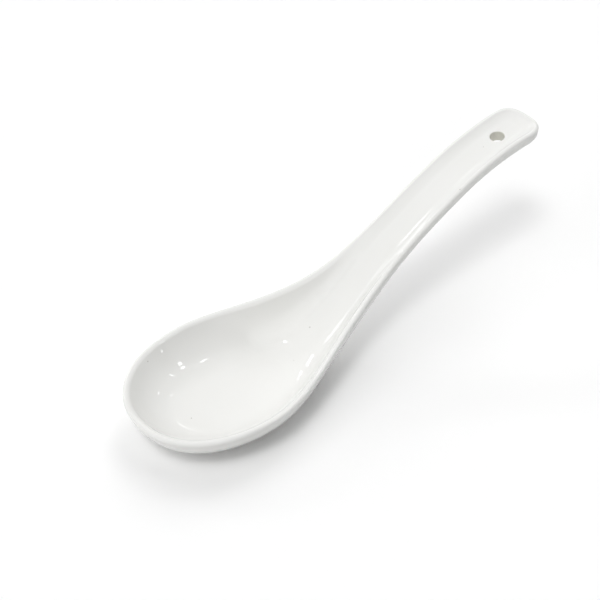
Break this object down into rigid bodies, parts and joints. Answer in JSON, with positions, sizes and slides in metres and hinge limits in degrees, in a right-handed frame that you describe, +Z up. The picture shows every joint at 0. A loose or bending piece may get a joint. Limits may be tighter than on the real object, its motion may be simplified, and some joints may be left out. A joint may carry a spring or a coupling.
{
  "type": "chinese soup spoon",
  "caption": "Deep-bowled white porcelain soup spoon that stands on a flat foot, with a rising, arched handle and a hanging hole near its end.",
  "frame": {"origin": "centre of the flat foot, on the surface that the spoon stands on", "axes": "+X along the spoon from the bowl's front lip towards the handle's end, +Y to the left, +Z up; the spoon is mirror-symmetric about Y = 0"},
  "size_m": [0.1375, 0.045, 0.0479],
  "materials": {
    "porcelain": "fired and unglazed, matt, off-white",
    "glaze": "clear glossy glaze over white porcelain, very slightly grey-green"
  },
  "bodies": {
    "root": {"porcelain_body": "porcelain", "glaze_coat": "glaze"}
  },
  "joints": []
}
